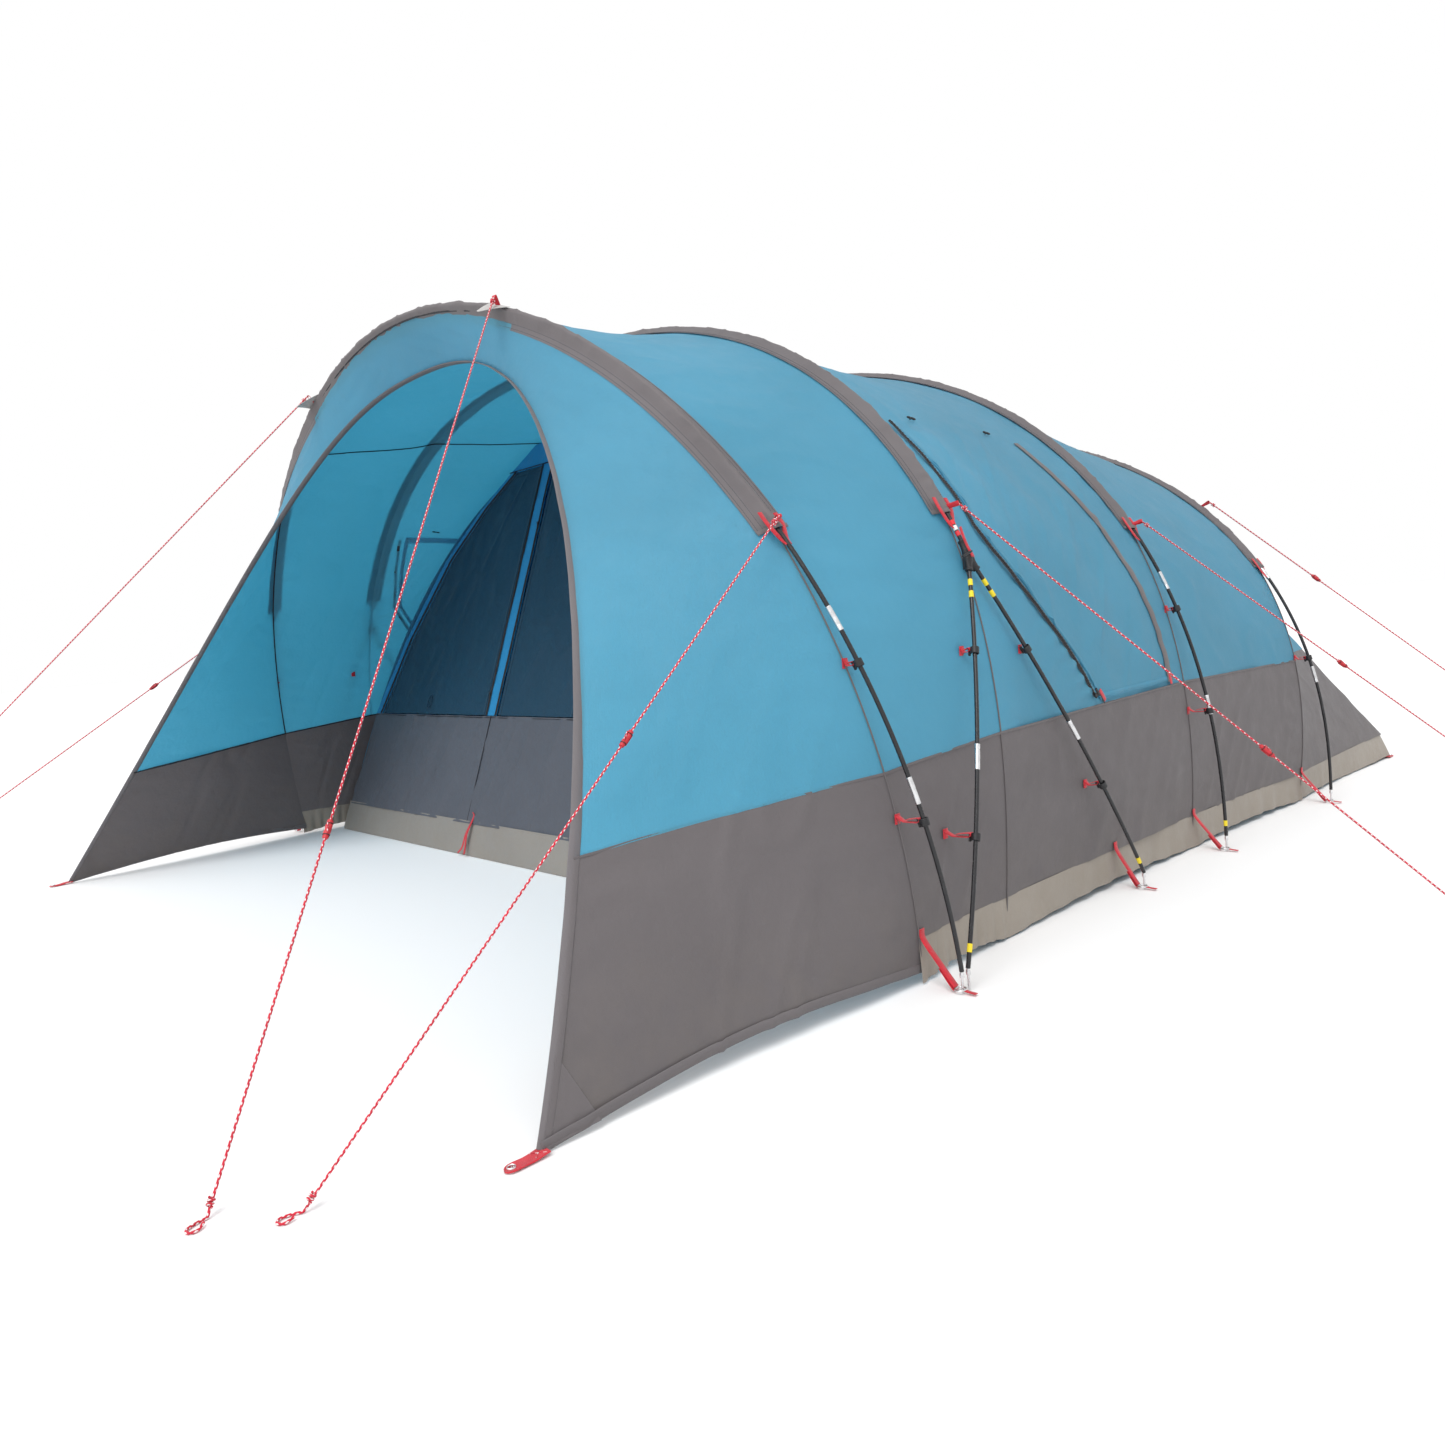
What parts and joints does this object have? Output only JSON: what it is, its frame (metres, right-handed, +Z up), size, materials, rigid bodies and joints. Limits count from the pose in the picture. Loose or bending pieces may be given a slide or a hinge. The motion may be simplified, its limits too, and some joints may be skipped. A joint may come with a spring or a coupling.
{
  "type": "tunnel tent on poles",
  "caption": "Family tunnel tent on hooped poles with an open porch, an inner tent with zipped doors, side windows and guy lines with sliding adjusters.",
  "frame": {"origin": "on the ground under the middle of the tent", "axes": "+Z up, the porch opens towards -Y, +X is the side to the right of someone inside who looks to the back"},
  "size_m": [4.8464, 5.5624, 1.961],
  "materials": {
    "pole_black": "smooth wrapped fibreglass rod",
    "bright_steel": "bright drawn steel",
    "black_plastic": "moulded, fine grain",
    "red_webbing": "woven polyester tape",
    "grey_trim": "heavy plain weave",
    "grey_fly_cloth": "coated plain-weave polyester",
    "blue_fly_cloth": "coated plain-weave polyester, slightly see-through",
    "skirt_cloth": "coated plain-weave polyester",
    "groundsheet_cloth": "coated woven polyethylene",
    "inner_tent_cloth": "light breathable polyester",
    "inner_grey_cloth": "light breathable polyester",
    "blue_strip_cloth": "light polyester tape",
    "navy_door_cloth": "light breathable polyester",
    "guy_cord": "braided cord, red with white flecks",
    "red_plastic": "moulded"
  },
  "bodies": {
    "tent": {"arch_1_pole": "pole_black", "arch_2_pole": "pole_black", "arch_2_legs": "pole_black", "arch_3_pole": "pole_black", "arch_4_pole": "pole_black", "ferrules": "bright_steel", "leg_hubs": "black_plastic", "pole_end_pins": "bright_steel", "foot_rings": "bright_steel", "pole_clips": "black_plastic", "clip_tapes": "red_webbing", "foot_straps": "red_webbing", "sleeve_1": "grey_trim", "sleeve_2": "grey_trim", "sleeve_3": "grey_trim", "sleeve_4": "grey_trim", "guy_loops": "red_webbing", "fly_hood": "blue_fly_cloth", "fly_roof_front": "blue_fly_cloth", "fly_roof_middle": "blue_fly_cloth", "fly_roof_rear": "blue_fly_cloth", "fly_back": "blue_fly_cloth", "porch_wing_right": "grey_fly_cloth", "porch_wing_left": "grey_fly_cloth", "fly_wall_right": "grey_fly_cloth", "fly_wall_left": "grey_fly_cloth", "fly_wall_back": "grey_fly_cloth", "mud_skirts": "skirt_cloth", "opening_binding": "grey_trim", "corner_tabs": "red_webbing", "window_zips": "black_plastic", "groundsheet": "groundsheet_cloth", "inner_tent": "inner_tent_cloth", "inner_front_wall": "inner_grey_cloth", "inner_front_strips": "blue_strip_cloth", "guy_front_right": "guy_cord", "guy_arch_1_right": "guy_cord", "guy_arch_2_right": "guy_cord", "guy_arch_3_right": "guy_cord", "guy_arch_4_right": "guy_cord", "guy_front_left": "guy_cord", "guy_arch_1_left": "guy_cord"},
    "window_right": {"window_flap_right": "blue_fly_cloth"},
    "window_left": {"window_flap_left": "blue_fly_cloth"},
    "zip_right": {"zip_slider_right": "black_plastic"},
    "zip_left": {"zip_slider_left": "black_plastic"},
    "inner_door_1": {"inner_door_1": "navy_door_cloth"},
    "inner_door_2": {"inner_door_2": "navy_door_cloth"},
    "inner_door_3": {"inner_door_3": "navy_door_cloth"},
    "inner_door_4": {"inner_door_4": "navy_door_cloth"},
    "adjuster_front_right": {"adjuster_front_right": "red_plastic"},
    "adjuster_arch_1_right": {"adjuster_arch_1_right": "red_plastic"},
    "adjuster_arch_2_right": {"adjuster_arch_2_right": "red_plastic"},
    "adjuster_arch_3_right": {"adjuster_arch_3_right": "red_plastic"},
    "adjuster_arch_4_right": {"adjuster_arch_4_right": "red_plastic"},
    "adjuster_front_left": {"adjuster_front_left": "red_plastic"},
    "adjuster_arch_1_left": {"adjuster_arch_1_left": "red_plastic"}
  },
  "joints": [
    {"name": "window_right_hinge", "type": "hinge", "parent": "tent", "child": "window_right", "pos_m": [1.44833, -0.39152, 1.40235], "axis": [0.0471, -0.9987, 0.0179], "range_deg": [0, 80]},
    {"name": "window_left_hinge", "type": "hinge", "parent": "tent", "child": "window_left", "pos_m": [-1.44833, -0.39152, 1.40235], "axis": [0.0471, 0.9987, -0.0179], "range_deg": [0, 80]},
    {"name": "zip_right_slide", "type": "slide", "parent": "tent", "child": "zip_right", "axis": [-0.1217, -0.5937, 0.7955], "range_m": [0, 0.15]},
    {"name": "zip_left_slide", "type": "slide", "parent": "tent", "child": "zip_left", "axis": [0.1217, -0.5937, 0.7955], "range_m": [0, 0.15]},
    {"name": "inner_door_1_hinge", "type": "hinge", "parent": "tent", "child": "inner_door_1", "pos_m": [0, -0.9102, 0.5572], "axis": [1, 0, 0], "range_deg": [0, 110]},
    {"name": "inner_door_2_hinge", "type": "hinge", "parent": "tent", "child": "inner_door_2", "pos_m": [0, -0.9102, 0.5572], "axis": [1, 0, 0], "range_deg": [0, 110]},
    {"name": "inner_door_3_hinge", "type": "hinge", "parent": "tent", "child": "inner_door_3", "pos_m": [0, -0.9102, 0.5572], "axis": [1, 0, 0], "range_deg": [0, 110]},
    {"name": "inner_door_4_hinge", "type": "hinge", "parent": "tent", "child": "inner_door_4", "pos_m": [0, -0.9102, 0.5572], "axis": [1, 0, 0], "range_deg": [0, 110]},
    {"name": "adjuster_front_right_slide", "type": "slide", "parent": "tent", "child": "adjuster_front_right", "axis": [-0.3464, 0.5175, 0.7824], "range_m": [-0.25, 0.25]},
    {"name": "adjuster_arch_1_right_slide", "type": "slide", "parent": "tent", "child": "adjuster_arch_1_right", "axis": [0.0091, 0.7376, 0.6752], "range_m": [-0.25, 0.25]},
    {"name": "adjuster_arch_2_right_slide", "type": "slide", "parent": "tent", "child": "adjuster_arch_2_right", "axis": [-0.5907, -0.4141, 0.6925], "range_m": [-0.25, 0.25]},
    {"name": "adjuster_arch_3_right_slide", "type": "slide", "parent": "tent", "child": "adjuster_arch_3_right", "axis": [-0.4996, -0.6134, 0.6117], "range_m": [-0.25, 0.25]},
    {"name": "adjuster_arch_4_right_slide", "type": "slide", "parent": "tent", "child": "adjuster_arch_4_right", "axis": [-0.626, -0.4063, 0.6656], "range_m": [-0.25, 0.25]},
    {"name": "adjuster_front_left_slide", "type": "slide", "parent": "tent", "child": "adjuster_front_left", "axis": [0.4987, 0.5677, 0.6551], "range_m": [-0.25, 0.25]},
    {"name": "adjuster_arch_1_left_slide", "type": "slide", "parent": "tent", "child": "adjuster_arch_1_left", "axis": [0.0073, 0.8404, 0.5418], "range_m": [-0.25, 0.25]}
  ]
}
